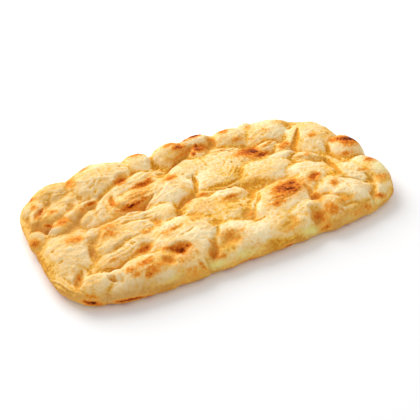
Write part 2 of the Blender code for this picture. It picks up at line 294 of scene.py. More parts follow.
# %% List the folds
# Start x, y, end x, y, bow to the left of the way, half width, rise (a crease is under 0), in mm
FOLDS = [
    (-121.5, -32, -106.5, -57.5, -4, 4, 1.2),
    (-117.5, -34, -104, -51.5, -3, 2.5, -1.0),
    (-97, -45, -80.5, -45, -1, 3, -1.5),
    (-97, -50.5, -91.5, -56, 0, 1.8, -2.2),
    (-93, -32, -63.5, -25, 0.5, 2.5, -1.3),
    (-89, -17, -78, -3, -1, 2.5, -1.8),
    (-114, 22.5, -107.5, 33, 1, 1.8, -3.0),
    (-120, 20, -107, 7, 0, 3.2, -3.0),
    (-105.5, 35, -100, 45.5, 0, 3, -0.9),
    (-86, 46.5, -72, 58, 1, 3, -2.2),
    (-77.5, -0.5, -70, 23.5, 2, 2.5, 1.0),
    (-64, 23, -68, 10, 0, 2.2, -1.8),
    (-48.5, 21.5, -26.5, 26, 0, 3.5, -2.2),
    (-62.5, 19.5, -47.5, 22.5, 0, 2.5, -1.0),
    (-68, 12, -38, 10.5, -7.5, 3.5, -3.4),
    (-44, 5.5, -31, 11.5, 0, 2.5, -1.0),
    (-76, 23, -53, 36, 0, 2.5, -1.6),
    (-20, 35, 12.5, 52, -2, 2.5, -2.2),
    (-4.5, 19, -11.5, -1, 0, 3, -2.4),
    (-12, 0, -28, -10, -1, 3.5, -2.2),
    (-10.5, 2.5, 20, 0, -3, 2.5, -1.2),
    (91, 52.5, 90, 39.5, 0, 4, -2.0),
    (95, 36, 72.5, 11, 0, 3, -3.0),
    (62.5, 5, 83.5, -12, 2, 1.8, -1.2),
    (66.5, 9, 86, -2, 1, 1.8, -1.2),
    (101, 11.5, 101.5, -12, -2, 3, -1.0),
    (93, -3, 88, -27, -1, 4, -3.2),
    (57.5, -27, 56, -47, -1, 3.4, -3.2),
    (56, -46, 75, -58, 2.5, 2.2, -1.6),
    (101, -37, 91, -61, 3, 2.6, -2.4),
    (4, -46.5, 15, -45.5, -1, 2, -1.2),
    (7, -44.5, 25.5, -20.5, 0, 2.5, -1.2),
    (-17, -41, -31, -64, -2, 3, -2.0),
    (-37.5, -61, -35.5, -69, 0, 2, -1.5),
    (77, -60.5, 78.5, -68.5, 0, 2, -1.2),
    (63, -59.5, 80, -61.5, 1, 2, -1.4),
    (29.5, 32, 59, 34.5, -2, 1.5, -0.8),
    (18, 38, 41.5, 31, 1, 1.5, -0.8),
]
print(len(FOLDS), "folds")


# %% [markdown]
# ### Noise that repeats
#
# Dough is never regular. `noise.noise` gives the same smooth value at the same place each time, so
# adding a fixed starting place to the point gives as many different patterns as are needed, and
# the bread comes out the same at each run.

# %% Smooth noise over the bread
EASTWARD = (7.3, 1.9, 4.2)  # where each pattern of noise starts
NORTHWARD = (2.8, 9.1, 6.4)
SWELLING = (0.0, 0.0, 0.0)


def cloud(places, scale, start):
    """Smooth noise from about -1 to 1 at each place, with humps about one scale apart."""
    spots = (places / scale + start).tolist()
    return np.array([noise.noise(spot) for spot in spots])


# %% Shape the blisters
BLISTER_REACH = 15.0 * MM  # how far up and down the side a blister at the rim is felt
MEETING = 2.6 * MM  # width over which two blisters run into each other
DOME_FALL = 4.3 * MM  # how far a blister falls from its crown to its outline
DOME_FLATNESS = 1.4  # over 1 a blister has a broad flat crown
CRUMB_SWELL = 1.0 * MM  # how unevenly the dough lies where no blister lifts it
HOLLOW_POWER = 1.4  # over 1 a hollow runs out softly
DRIFT = 2.0 * MM  # how far the outlines of the blisters wander
DRIFT_SCALE = 17 * MM  # how far apart the wanderings are
CLOSE_DRIFT = 0.45  # share of a second, closer wandering
CLOSE_SCALE = DRIFT_SCALE / 2.7


def drift(places):
    """The places moved about a little, so that no blister keeps an exact outline."""
    moved = places.copy()
    for axis, start in enumerate((EASTWARD, NORTHWARD)):
        broad = cloud(places, DRIFT_SCALE, start)
        close = cloud(places, CLOSE_SCALE, start)
        moved[:, axis] += DRIFT * (broad + CLOSE_DRIFT * close)
    return moved


def reach_of(east, north, row):
    """How far each place is from a row's middle, squared, with 1 on the row's outline."""
    x, y, long, wide, turn = row[:5]
    turn = math.radians(turn)
    along = ((east - x) * math.cos(turn) + (north - y) * math.sin(turn)) / long
    across = ((north - y) * math.cos(turn) - (east - x) * math.sin(turn)) / wide
    return along**2 + across**2


def fold(east, north, row):
    """How strongly one bowed fold is felt at each place, in millimetres."""
    x0, y0, x1, y1, bow, wide, size = row
    length = math.hypot(x1 - x0, y1 - y0)
    ahead = ((x1 - x0) / length, (y1 - y0) / length)
    along = ((east - x0) * ahead[0] + (north - y0) * ahead[1]) / length
    side = (north - y0) * ahead[0] - (east - x0) * ahead[1] - 4 * bow * along * (1 - along)
    fade = np.clip(4 * along * (1 - along), 0, 1)
    across = np.clip(1 - (side / (wide * fade**0.5 + 0.01)) ** 2, 0, None)
    return size * across**1.5 * fade**0.5


def meet(first, second, width):
    """The larger of the two, rounded where they are nearly equal."""
    near = np.clip(width - abs(first - second), 0, None)
    return np.maximum(first, second) + near**2 / (4 * width)


def relief(places):
    """How far the blistered surface stands out from the bare slab at each place."""
    places = drift(places)
    swell = CRUMB_SWELL * (cloud(places, DRIFT_SCALE, SWELLING) - 1)
    east = places[:, 0] / MM
    north = places[:, 1] / MM
    down = ((CRUMB_TOP - places[:, 2]) / BLISTER_REACH) ** 2
    for row in BLISTERS:
        reach = reach_of(east, north, row) + down
        swell = meet(swell, row[5] * MM - DOME_FALL * reach**DOME_FLATNESS, MEETING)
    sunk = np.zeros(len(places))
    for row in HOLLOWS:
        reach = reach_of(east, north, row) + down
        sunk = np.maximum(sunk, row[5] * MM * np.clip(1 - reach, 0, None) ** HOLLOW_POWER)
    for row in FOLDS:
        swell = swell + fold(east, north, row) * MM
    return swell - sunk


blistered = bare + ways * relief(bare)[:, None]
print("blisters reach", round(blistered[:, 2].max() / MM, 1), "mm up")

# %% [markdown]
# ## Marks where the eye sees them
#
# The oven's marks, the painted shade and highlights and the finest wrinkles are listed by where
# they show in the camera's view, on a level plane through the bread's upper part. Each point of
# the bread is carried along its line of sight onto that plane, so a mark lies on a slope just
# where the picture has it.

# %% Carry each point along its line of sight
MARK_LEVEL = 18 * MM


def sight(places):
    """Where the camera sees each place on the marks' level plane, in millimetres."""
    eye = np.array(camera_place)
    stretch = (eye[2] - MARK_LEVEL) / (eye[2] - places[:, 2])
    spots = (eye + (places - eye) * stretch[:, None]) / MM
    return spots[:, 0], spots[:, 1]


east, north = sight(blistered)
print("marks plane runs from", round(east.min()), "to", round(east.max()), "mm along the bread")

# %% [markdown]
# ## Fine relief
#
# Close up, the skin is never smooth. Where the dough was pulled it keeps bundles of fine pleats,
# small bubbles have burst into pits or stand up as pimples, and the scorched places are rough and
# cracked. A displacement texture could do this at render time, but then the mesh would not have
# it, so the points themselves are moved.

# %% List the pleats and creases
# Bundles of pleats: x, y, half length, half width in mm, turn in degrees, spacing, height in mm
PLEATS = [
    (-84, -39, 18, 6, 20, 3.4, 0.30),
    (-60, -10, 20, 6, -2, 3.8, 0.35),
    (-50, 13, 17, 7, 18, 3.4, 0.30),
    (-44, 31, 20, 6, 17, 4.0, 0.25),
    (-108, -61, 8, 4, 25, 2.4, 0.22),
    (-121, -50, 15, 6, -58, 3.2, 0.50),
    (-86, -73, 8, 15, 62, 4.0, 0.30),
    (-55, -76, 6, 12, 62, 3.6, 0.25),
    (77, -3, 12, 6, -20, 2.8, 0.50),
    (62, 26, 11, 5, 14, 3.2, 0.35),
    (31, 32, 12, 3, 5, 2.4, 0.25),
    (92, -49, 9, 7, -35, 3.4, 0.35),
    (-92, -17, 9, 4, 50, 3.0, 0.25),
    (-92, 40, 12, 6, 25, 4.5, 0.30),
    (-68, 40, 9, 7, 60, 4.0, 0.30),
    (22, 8, 9, 7, 58, 3.2, 0.22),
    (86, 28, 6, 12, -38, 3.0, 0.30),
    (33, -72, 22, 5, 12, 3.6, 0.25),
]
# Fine folds: start x, y, end x, y, bow, half width, rise, in mm
FINE_FOLDS = [
    (24, -34, 50, -33, -3, 1.0, -0.7),
    (82, -33, 95, -51, 2, 1.2, -0.8),
    (95, -51, 101, -46, -1, 1.1, -0.7),
    (97, -60, 99, -42, 2, 1.2, 0.7),
    (-84, -63, -78, -53, 0, 1.0, -0.8),
    (-74, -55, -62, -56, 1, 1.0, -0.7),
    (-76, -66, -70, -55, 1, 1.2, -0.6),
    (70, 1, 85, -9, 2, 1.1, -0.9),
    (66, 4, 74, 1, 0, 1.0, -0.8),
    (-72, 2, -46, -3, -4, 1.2, -0.9),
    (-8, -3, 20, -9, -2, 1.2, -0.9),
    (-30, -34, -50, -38, 2, 1.2, -0.6),
    (-45, -33, -36, -30, 1, 1.4, -0.9),
    (-45, -76, -43, -66, 0, 1.2, -0.9),
    (10, -39, 14, -31, 0, 1.4, 0.6),
    (50, 38, 60, 37, -1, 1.2, 0.5),
    (18, 33, 38, 33, 1, 1.0, -0.6),
    (97, -33, 104, -37, 0, 1.2, -0.6),
    (-30, 41, -8, 36, -3, 1.2, -0.7),
    (45, -34, 53, -29, 0, 1.0, 0.8),
    (-12, 40, 6, 46, 1, 1.0, -0.6),
    (-100, -49, -92, -47, 1, 1.2, -0.7),
]


def pleats(east, north, row):
    """Height of one bundle of pleats at each place, in millimetres."""
    x, y, _, _, turn, spacing, height = row
    fade = np.clip(1 - reach_of(east, north, row), 0, None)
    turn = math.radians(turn)
    along = (east - x) * math.cos(turn) + (north - y) * math.sin(turn)
    across = (north - y) * math.cos(turn) - (east - x) * math.sin(turn)
    # the pleats sway from side to side as they run
    wander = 0.6 * np.sin(along / 5) + 0.35 * np.sin(along / 2.3 + across / 3)
    wave = np.cos((across / spacing + 0.35 * wander) * 2 * math.pi)
    return height * wave * fade


print(len(PLEATS), "bundles of pleats and", len(FINE_FOLDS), "fine folds")

# %% List the scorched and toasted places
# x, y, half length, half width in mm, turn in degrees, how far it is baked: 1 is nearly black
BAKED = [
    (42.5, -29, 10.5, 7.5, 12, 0.66),
    (43, -29.5, 2.5, 2, 0, 1.0),
    (48, -24.5, 3.5, 2, 10, 0.9),
    (37, -27, 5, 3.5, 10, 0.72),
    (44.5, -34, 4, 1.1, 30, 0.7),
    (31, -34, 6, 0.9, -5, 0.6),
    (27.5, -39.5, 7, 3, 15, 0.55),
    (41, 24, 7, 3, 5, 0.8),
    (46, 22, 4, 3, 0, 0.95),
    (48.5, 15.5, 5, 3, 15, 0.85),
    (43, 19, 9, 6, -20, 0.5),
    (73, 19.5, 2, 2, 0, 0.72),
    (69, 17.5, 4.5, 3.5, 30, 0.55),
    (58, 25, 5, 1.5, 10, 0.4),
    (64, 27, 6, 1.5, 20, 0.42),
    (54, 38, 4, 1.2, -15, 0.4),
    (44, 42, 5, 3, 10, 0.48),
    (60, 52, 3, 3, 0, 0.35),
    (69, 44, 2.5, 3, 30, 0.4),
    (41, 57, 5, 3, 25, 0.58),
    (114.5, 5, 6.5, 2.6, -22, 1.0),
    (119.5, 0.5, 6, 2.4, -38, 0.95),
    (114.5, 0.5, 8, 5.5, -40, 0.6),
    (105, 6.5, 3, 2, 0, 0.62),
    (104, -12.5, 6, 2.5, 0, 0.5),
    (113.5, -26.5, 4.5, 3, 0, 0.6),
    (101, -35, 4.5, 1.2, -30, 0.5),
    (106, -48, 6, 3.5, 10, 0.42),
    (96.5, 20.5, 4.5, 2.5, 5, 0.48),
    (65, -25.5, 4.5, 3, 30, 0.7),
    (69, -24, 2.5, 2, 0, 0.68),
    (63, -28, 5, 4, 35, 0.38),
    (73.5, -38, 4, 2.5, 40, 0.52),
    (70.5, 0, 3, 1, -10, 0.6),
    (77, -0.5, 4, 2, 10, 0.4),
    (78, -7, 6, 1, -15, 0.45),
    (90.5, -65, 3, 3, 0, 0.65),
    (53.5, -46, 3.5, 5, 0, 0.42),
    (42, -65, 3.5, 5, -10, 0.64),
    (54.5, -62, 5, 7, 0, 0.52),
    (67, -57.5, 8, 2.5, 10, 0.4),
    (75, -71, 4, 5, 20, 0.45),
    (65, -73, 6, 3, 10, 0.4),
    (19, -66, 7, 2.5, 15, 0.35),
    (27, -61, 2.5, 5, 0, 0.35),
    (39, -76, 5, 2, 15, 0.5),
    (1.5, 53, 4, 3, 0, 0.9),
    (9, 61, 6, 1.8, 12, 0.9),
    (20, 61.5, 6.5, 1.7, 10, 0.95),
    (-3, 59, 6, 2, 10, 0.5),
    (3, 46, 6, 5, 0, 0.35),
    (-8, 42, 8, 4, 15, 0.25),
    (-3, 41, 9, 1.2, 20, 0.5),
    (12, 46, 1.6, 3.5, -20, 0.95),
    (7, 40, 1.5, 3, -20, 0.8),
    (14, 44, 5.5, 5, 0, 0.68),
    (27, 50.5, 2.5, 5, 0, 0.5),
    (27, 34, 7, 1, 5, 0.4),
    (4, -19, 6, 2, 5, 0.6),
    (-11, -8, 3, 2, 0, 0.55),
    (-23, -10.5, 4.5, 2, 35, 0.5),
    (-16, -19, 8, 7, 0, 0.26),
    (-5, -22, 3, 2, 0, 0.32),
    (-26, -27, 4, 2.5, 0, 0.32),
    (5, -41.5, 5, 2.5, 10, 0.42),
    (-28, 59, 7, 3, 10, 0.55),
    (-41, 22, 5.5, 3, 15, 0.7),
    (-46, 21, 4, 1.5, 10, 0.6),
    (-36, 25, 5, 1.5, 25, 0.6),
    (-21, 20, 5, 2.5, 5, 0.58),
    (-27, 19, 4, 2.5, 5, 0.32),
    (-53, 32.5, 5, 3, 25, 0.7),
    (-58, 2.5, 7, 2.6, 15, 0.76),
    (-57, 3.2, 3, 1.1, 15, 0.95),
    (-64, 1, 5, 1.1, -20, 0.7),
    (-50, 5, 6, 2, 20, 0.66),
    (-52, 9, 12, 5, 18, 0.38),
    (-44, 17, 13, 8, 20, 0.27),
    (-52, -3, 6, 2, 10, 0.4),
    (-67, 13, 2, 6, -10, 0.52),
    (-65, 9, 3, 3, 0, 0.4),
    (-79.5, 17.5, 4, 2, 10, 0.62),
    (-87, 14.5, 2.5, 4, 0, 0.4),
    (-83, 46, 3, 5, -20, 0.5),
    (-69, 59, 6, 1.6, 30, 0.5),
    (-111.5, 23.5, 4.8, 0.9, 54, 0.8),
    (-116, 20, 3, 3, 0, 0.3),
    (-113, 31, 2.5, 5, -10, 0.42),
    (-104.5, 21.5, 3, 2.5, 0, 0.5),
    (-113, 40.5, 3.5, 2.5, 0, 0.55),
    (-111, 8, 3.0, 1.2, -40, 0.78),
    (-120, 7, 4, 3, 0, 0.32),
    (-124, -4.5, 3, 4, 0, 0.6),
    (-102, 8, 5, 3.5, 0, 0.55),
    (-102, -12.5, 6.5, 3, -10, 0.5),
    (-79, -10, 5, 2.5, 10, 0.5),
    (-80.5, -16.5, 3.5, 3, 0, 0.48),
    (-80, -16, 9, 6, 20, 0.28),
    (-85, -19, 4, 2.5, 20, 0.3),
    (-111.8, -47, 1.0, 3.0, -12, 0.55),
    (-68.5, -41, 5, 2.4, 15, 0.68),
    (-88, -41, 6, 2.5, 15, 0.32),
    (-94.2, -54.5, 2, 0.8, -50, 0.48),
    (-73, -52, 5.5, 2.2, 12, 0.6),
    (-83, -54, 3.5, 2.5, 0, 0.5),
    (-82, -59.5, 3, 2, 0, 0.5),
    (-72, -61, 4, 3.5, -30, 0.54),
    (-75, -63.5, 3, 2.5, 0, 0.6),
    (-68, -57.5, 4.5, 2, 5, 0.55),
    (-75, -57, 10, 7, 10, 0.26),
    (-60.5, -57, 4, 3.5, -30, 0.46),
    (-50, -50, 7.5, 4.5, -12, 0.58),
    (-50, -53, 3, 3, 0, 0.76),
    (-54.5, -47.5, 4, 1.8, -25, 0.7),
    (-46, -50.5, 3.5, 2, 0, 0.72),
    (-43, -31, 5, 1.3, 10, 0.5),
    (-50, -33, 4, 2.5, 0, 0.4),
    (-50, -21, 2.5, 5, -20, 0.42),
    (-60, -26, 5, 2.5, 10, 0.4),
    (-34, -66, 4, 4, 0, 0.42),
    (-29.5, -57, 1.8, 6, 10, 0.42),
    (-45, -71, 1.2, 5, 0, 0.5),
    (-52, -73, 5, 5, 0, 0.34),
    (-16.5, -52, 6, 3, 0, 0.45),
    (-17, -58, 6, 5, 0, 0.36),
    (-30, -69.5, 4, 2, 10, 0.45),
    (-8, -53, 3, 2, 0, 0.32),
    (-112.5, -69.5, 5.5, 1.5, -42, 0.85),
    (-111.5, -64, 4, 1.6, -42, 0.5),
    (-93, -77, 9, 1.2, -14, 0.85),
    (-22, -80.5, 7, 1.3, 8, 0.85),
    (9, -80, 4, 1.3, 8, 0.85),
]
print(len(BAKED), "baked marks")

# %% List the golden, pale, tan and greenish places, some of them painted shade and highlight
# The same terms, with the strength of the colour last
# Golden dough, partly painted shade in creases, pockets and low on the front side
GOLDEN_AND_SHADE = [
    (27, -12.5, 12, 4, -14, 0.85),
    (22, 3, 5, 7, 0, 0.5),
    (5, -4, 12, 2.5, 3, 0.65),
    (85, -16, 3.5, 9, 5, 0.9),
    (80.5, -29, 4.5, 4, 0, 0.8),
    (81.5, 19, 2.2, 12, -37, 0.9),
    (89, 43, 2.5, 6, 10, 0.8),
    (-17, -1, 3, 9, 10, 0.85),
    (-32, -15, 6, 3, 10, 0.6),
    (-26, -27, 5, 3, 0, 0.7),
    (-20, -39.5, 3.5, 3.5, 0, 0.7),
    (-22, -60, 10, 6, 50, 0.75),
    (-33, -63, 8, 4, 50, 0.9),
    (-29, -56, 2.5, 7, 10, 0.8),
    (-60.5, -57.5, 5, 4.5, 0, 1.0),
    (5, -41, 6, 4, 10, 0.8),
    (-1, -27, 6, 7, 0, 0.45),
    (18, -28, 5, 5, 0, 0.5),
    (21, -64, 9, 5, 10, 0.7),
    (39, -76, 9, 3, 15, 0.8),
    (1, -72, 7, 3.5, 10, 0.9),
    (35, -75, 7, 5, 15, 0.9),
    (-62, -80, 22, 3, 14, 0.6),
    (5, -76, 8, 5, 14, 0.5),
    (62, -73, 12, 4, 18, 0.85),
    (53.5, -45, 4, 6, 0, 0.9),
    (67, -56.5, 9, 3, 10, 0.8),
    (44, -65, 4, 6, 0, 0.8),
    (107, -50, 7, 5, 20, 0.7),
    (95, -50, 2.5, 12, -25, 0.8),
    (73, -66, 12, 3, 12, 0.6),
    (103, -64, 6, 6, 30, 0.5),
    (-113, 14, 8, 4, 10, 0.9),
    (-102.5, 0, 4, 6, -20, 0.7),
    (-96.5, -31, 3, 9, -10, 0.9),
    (-105, 45, 7, 7, 0, 0.4),
    (-103, 38, 3.5, 6, -15, 0.3),
    (-88, 10, 4, 7, 0, 0.5),
    (-83, 46, 4, 6, -20, 0.8),
    (-8, 44, 8, 7, 10, 0.35),
    (27, 50, 3, 6, 0, 0.8),
    (-13, 43, 4, 4, 10, 0.4),
    (-118, -60, 7, 6, -40, 0.45),
    (-113, -30, 20, 12, 75, 0.08),
    (-128, -22, 4, 12, 10, 0.5),
    (112, 22, 4, 10, -40, 0.5),
    (108, -31, 9, 4, 25, 0.7),
    (102, -45, 4, 8, -10, 0.5),
]
# Pale dough, partly painted highlight where a side or an edge faces the light, as at the right end
PALE_AND_HIGHLIT = [
    (-27, 3, 14, 9, 20, 0.95),
    (-14, 14, 5, 6, 20, 0.6),
    (-31, -47, 10, 10, 0, 1.0),
    (-30, -52, 6, 7, 0, 0.6),
    (-42, -25, 12, 4, 5, 0.5),
    (-3, -68, 9, 9, 10, 0.95),
    (2, -54, 10, 3, -5, 0.6),
    (45, -41, 9, 5, 10, 1.1),
    (50, -34, 3, 6, 30, 0.7),
    (84, -53, 7, 6, 0, 1.0),
    (80, -60, 5, 3, 10, 0.6),
    (53, -14, 8, 5, 10, 0.9),
    (62, 10, 9, 2, 5, 0.7),
    (13, -38, 2.5, 9, -30, 0.85),
    (-91, -54, 3, 5, 0, 0.7),
    (-66, -67, 5, 4, 0, 0.5),
    (-109, -20, 8, 13, -10, 0.25),
    (-101, -28, 2.5, 9, -10, 0.6),
    (-110, 2, 4, 5, 0, 0.4),
    (-92, -10, 3.5, 9, -35, 0.65),
    (-85, 10, 5, 6, 0, 0.3),
    (-75, 15, 2, 9, -8, 0.35),
    (-77, 38, 6, 6, 20, 0.4),
    (-107, 22, 4, 5, 0, 0.4),
    (80, -15, 7, 2.5, -10, 0.5),
    (95, 10, 4, 5, 0, 0.4),
    (20, 54, 9, 3, 10, 0.65),
    (-24, 43, 8, 5, 10, 0.6),
    (82, 35, 5, 6, 0, 0.75),
    (48, 54, 7, 5, 0, 0.6),
    (78, 54, 8, 3, 10, 0.4),
    (64, 35, 5, 3, 0, 0.5),
    (104, -57, 5, 3, 30, 0.5),
    (-62, -44, 5, 3, 10, 0.4),
    (2, -12, 12, 2, -5, 0.5),
    (-8, -46, 12, 2.5, -12, 0.6),
    (0, 14, 8, 4, 20, 0.3),
    (-52, 22, 12, 3, 18, 0.45),
    (60, -66, 4, 3, 20, 0.3),
    (-24, -72, 16, 4, 12, 0.55),
    (28, -70, 12, 5, 14, 0.4),
    (104, -8, 13, 16, -30, 0.75),
    (72, -45, 14, 7, 10, 0.55),
    (92, -38, 10, 8, 0, 0.5),
    (96, -62, 8, 6, 30, 0.55),
    (114, -26, 8, 20, -12, 1.0),
    (118, 8, 7, 14, -30, 0.9),
]
# Painted shade: tan on the front side and the left end, out of the light, and in a few pockets
SHADE_AND_TAN = [
    (-84, -67, 36, 10, 14, 1.0),
    (-118, -42, 8, 14, 20, 0.6),
    (-113, -60, 12, 8, -40, 0.7),
    (-66, 40, 16, 12, 20, 0.5),
    (60, -74, 26, 6, 16, 0.45),
    (-46, 6, 20, 14, 20, 0.35),
    (-98, 6, 26, 44, 0, 1.1),
    (-112, -48, 3, 4, 0, 0.9),
]
GREENISH = [
    (29, -74.5, 6, 4, 15, 0.9),
    (-35, -73, 7, 4, 10, 0.9),
    (-19, -74, 8, 4, 10, 0.6),
    (-63, -73, 6, 3, 10, 0.35),
    (100, -72, 10, 2.5, 35, 0.6),
    (-10, -75, 6, 3, 10, 0.4),
    (116, -36, 5, 9, -20, 0.5),
    (86, -68, 10, 4, 25, 0.35),
    (62, -74, 9, 3, 16, 0.4),
]
print(len(GOLDEN_AND_SHADE), "golden,", len(PALE_AND_HIGHLIT), "pale,", len(SHADE_AND_TAN), "tan and", len(GREENISH), "greenish")

# %% [markdown]
# ### Ragged marks
#
# A scorch has a dark heart, a soft orange halo and a ragged outline. Each mark here is a soft
# oval whose edge is shaken by noise at two scales. Marks that overlap are joined by a high power
# mean, which is close to the larger of the two but has no seam between them.

# %% Lay down a list of marks
JOIN_POWER = 4
HEART_FALL = 0.85  # how fast a mark's dark heart fades outwards
HEART_POWER = 1.25
HALO_FALL = 0.30  # how fast its halo fades
SHAKEN_SIZE = 0.5  # how much the noise swells or shrinks a mark
SHAKEN_EDGE = 0.35  # how much the noise frays its edge
# Strength, scale and start of each noise that shakes the marks
SHAKES = (
    (0.55, 3.2 * MM, (3.4, 1.1, 5.7)),
    (0.40, 1.5 * MM, (9.2, 4.6, 0.8)),
)


def shaken(places):
    """How much the outlines of the marks wander at each place."""
    return sum(strength * cloud(places, scale, start) for strength, scale, start in SHAKES)


def marks(east, north, rows, shake, halo):
    """The level that a list of marks gives each place, each with a fainter halo."""
    total = np.zeros(len(east))
    for row in rows:
        reach = reach_of(east, north, row) * (1 + SHAKEN_SIZE * shake) + SHAKEN_EDGE * shake
        reach = np.clip(reach, 0, None)
        heart = np.exp(-HEART_FALL * reach**HEART_POWER)
        total += (row[5] * (heart + halo * (np.exp(-HALO_FALL * reach) - heart))) ** JOIN_POWER
    return total ** (1 / JOIN_POWER)


bread_shake = shaken(blistered)
first_baked = marks(east, north, BAKED, bread_shake, 0.0)
print("mean baked level", round(float(first_baked.mean()), 3))

# %% [markdown]
# ### Pits and pimples
#
# Small bubbles are scattered at random, so a seeded random generator places them. The seed makes
# the scatter the same at each run.

# %% Work out the fine relief
# How many there are, then the least and the greatest radius and height in mm
PITS = (170, (0.9, 2.2), (-0.75, -0.25))
PIMPLES = (150, (1.2, 3.2), (0.2, 0.65))
PATCH_SCALE = 22 * MM  # how far apart the wrinkled patches and the pocked patches lie
PATCH_CONTRAST = 1.2
LUMPS = ((8.5 * MM, 0.38), (4.2 * MM, 0.24))  # scale, and height in mm
WRINKLE_SCALE = 4.5 * MM
WRINKLE_HEIGHT = 0.72  # mm, like the heights that follow
POCK_SCALE = 2.6 * MM
POCK_HEIGHT = 0.42
GRAIN_SCALE = 1.7 * MM
GRAIN_HEIGHT = 0.17
BAKED_GRAIN = 0.22  # how much higher the grain is on a scorch
CRACK_SCALE = 2.6 * MM
CRACK_HEIGHT = 0.30
LUMPY = (1.7, 8.8, 3.1)  # where each pattern of noise starts
WRINKLED = (6.1, 2.2, 7.9)
PATCHY = (0.6, 5.3, 9.4)
GRAINY = (4.9, 7.4, 1.2)
scatter = np.random.default_rng(7)


def bubbles(places, count, radii, heights):
    """Small round humps scattered over the slab, in metres. Heights under 0 make pits."""
    total = np.zeros(len(places))
    for _ in range(count):
        x = scatter.uniform(-0.5, 0.5) * LENGTH
        y = scatter.uniform(-0.5, 0.5) * WIDTH
        radius = scatter.uniform(*radii) * MM
        height = scatter.uniform(*heights) * MM
        squash = scatter.uniform(0.6, 1.5)
        near = ((places[:, 0] - x) * squash) ** 2 + (places[:, 1] - y) ** 2
        total += height * np.clip(1 - near / radius**2, 0, None) ** 1.5
    return total


def wrinkles(places, scale, start):
    """Sharp little ridges that run mostly along the bread, from 0 to 1."""
    pulled = places * np.array([0.5, 1.0, 1.0])
    return (1 - abs(cloud(pulled, scale, start))) ** 3


def fine_relief(places, east, north, baked):
    """Height of all that is too fine for the faceted solid, in metres."""
    wrinkled = np.clip(0.5 + PATCH_CONTRAST * cloud(places, PATCH_SCALE, PATCHY), 0, 1)
    height = sum(rise * cloud(places, scale, LUMPY) for scale, rise in LUMPS)
    height += WRINKLE_HEIGHT * wrinkled * (wrinkles(places, WRINKLE_SCALE, WRINKLED) - 0.5)
    height += POCK_HEIGHT * (1 - wrinkled) * cloud(places, POCK_SCALE, WRINKLED)
    height += (GRAIN_HEIGHT + BAKED_GRAIN * baked) * cloud(places, GRAIN_SCALE, GRAINY)
    height += CRACK_HEIGHT * baked * (wrinkles(places, CRACK_SCALE, GRAINY) - 0.4)
    for row in PLEATS:
        height += pleats(east, north, row)
    for row in FINE_FOLDS:
        height += fold(east, north, row)
    height *= MM
    return height + bubbles(places, *PITS) + bubbles(places, *PIMPLES)


fine = fine_relief(blistered, east, north, first_baked)
for vertex, place in zip(bread_bm.verts, blistered + ways * fine[:, None]):
    vertex.co = place
print("fine relief from", round(fine.min() / MM, 2), "to", round(fine.max() / MM, 2), "mm")

# %% [markdown]
# ## The heel and the underside
#
# Below its widest place the side draws in and meets the oven floor. The underside is flat where
# it lay on the stone and has shallow dents where steam held it off. Both are made by extruding
# the open rim ring by ring, and the last ring is merged into one point in the middle.

# %% Close the bread underneath
HEEL_ROUND = 6.0 * MM  # how far the base is drawn in under the edge
HEEL_RINGS = 9
BASE_RINGS = 13
DENT = 1.4 * MM  # deepest dent of the underside
DENT_SCALE = 0.026  # metres from dent to dent
DENT_FADE = 4  # over 1 the dents come close to the heel
DENT_START = (5.5, 0.4, 2.6)


def heel_ring(step):
    """How far in and how high one ring of the heel lies."""
    angle = math.pi / 2 * step / HEEL_RINGS
    return HEEL_ROUND * (1 - math.cos(angle)), WAIST * (1 - math.sin(angle))


def dent(x, y, inward):
    """Height of the underside over the table, fading to nothing at the heel."""
    start_x, start_y, start_z = DENT_START
    bump = noise.noise((x / DENT_SCALE + start_x, y / DENT_SCALE + start_y, start_z))
    return DENT * max(0, bump + 0.05) * min(1, inward * DENT_FADE)


rim = [edge for edge in bread_bm.edges if edge.is_boundary]
for step in range(1, HEEL_RINGS + BASE_RINGS):
    made = bmesh.ops.extrude_edge_only(bread_bm, edges=rim)["geom"]
    rim = [part for part in made if isinstance(part, bmesh.types.BMEdge)]
    ring = [part for part in made if isinstance(part, bmesh.types.BMVert)]
    if step <= HEEL_RINGS:
        before, _ = heel_ring(step - 1)
        after, height = heel_ring(step)
        shrink = Vector((1 - 2 * (after - before) / LENGTH, 1 - 2 * (after - before) / WIDTH))
    else:
        inward = (step - HEEL_RINGS) / BASE_RINGS
        share = (1 - inward) / (1 - inward + 1 / BASE_RINGS)
        shrink = Vector((share, share))
    for vertex in ring:
        vertex.co.x *= shrink.x
        vertex.co.y *= shrink.y
        if step <= HEEL_RINGS:
            vertex.co.z *= height / heel_ring(step - 1)[1]
        else:
            vertex.co.z = dent(vertex.co.x, vertex.co.y, inward)
made = bmesh.ops.extrude_edge_only(bread_bm, edges=rim)["geom"]
hub = [part for part in made if isinstance(part, bmesh.types.BMVert)]
bmesh.ops.pointmerge(bread_bm, verts=hub, merge_co=(0, 0, dent(0, 0, 1)))
bmesh.ops.recalc_face_normals(bread_bm, faces=bread_bm.faces)
bread_bm.verts.sort(key=lambda vertex: vertex.co.x * 1000 + vertex.co.y + vertex.co.z / 1000)
bread_bm.faces.sort(key=lambda face: face.calc_center_median().dot((1000, 1, 0.001)))
print("closed bread:", len(bread_bm.faces), "faces")

# %% Make the bread object
bread_mesh = bpy.data.meshes.new("naan_bread")
bread_bm.to_mesh(bread_mesh)
bread_bm.free()


def read_places(mesh):
    """The places of the mesh's points, one row each."""
    places = np.empty(len(mesh.vertices) * 3)
    mesh.vertices.foreach_get("co", places)
    return places.reshape(-1, 3)


def read_normals(mesh):
    """The outward directions of the mesh's points, one row each."""
    normals = np.empty(len(mesh.vertices) * 3)
    mesh.vertices.foreach_get("normal", normals)
    return normals.reshape(-1, 3)


